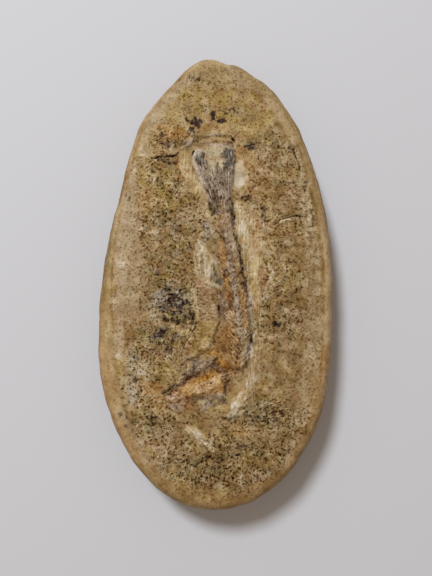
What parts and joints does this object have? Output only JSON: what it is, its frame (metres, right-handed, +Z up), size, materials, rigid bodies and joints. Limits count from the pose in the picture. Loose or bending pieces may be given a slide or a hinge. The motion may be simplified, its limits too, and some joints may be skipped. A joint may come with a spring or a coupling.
{
  "type": "fossil fish slab",
  "caption": "Egg-shaped half of a split stone nodule lying on its back, with a small fossil fish in low relief along its open face.",
  "frame": {"origin": "centre of the outline, on the surface that the stone lies on", "axes": "+Z up out of the fish face, +Y along the stone towards the fish's head, +X to the right as the face is looked at"},
  "size_m": [0.0489, 0.0946, 0.013],
  "materials": {
    "stone": "dull, fine-grained ochre and tan, with dark pepper speckle and a grey-purple fossil"
  },
  "bodies": {
    "root": {"fossil_slab": "stone"}
  },
  "joints": []
}
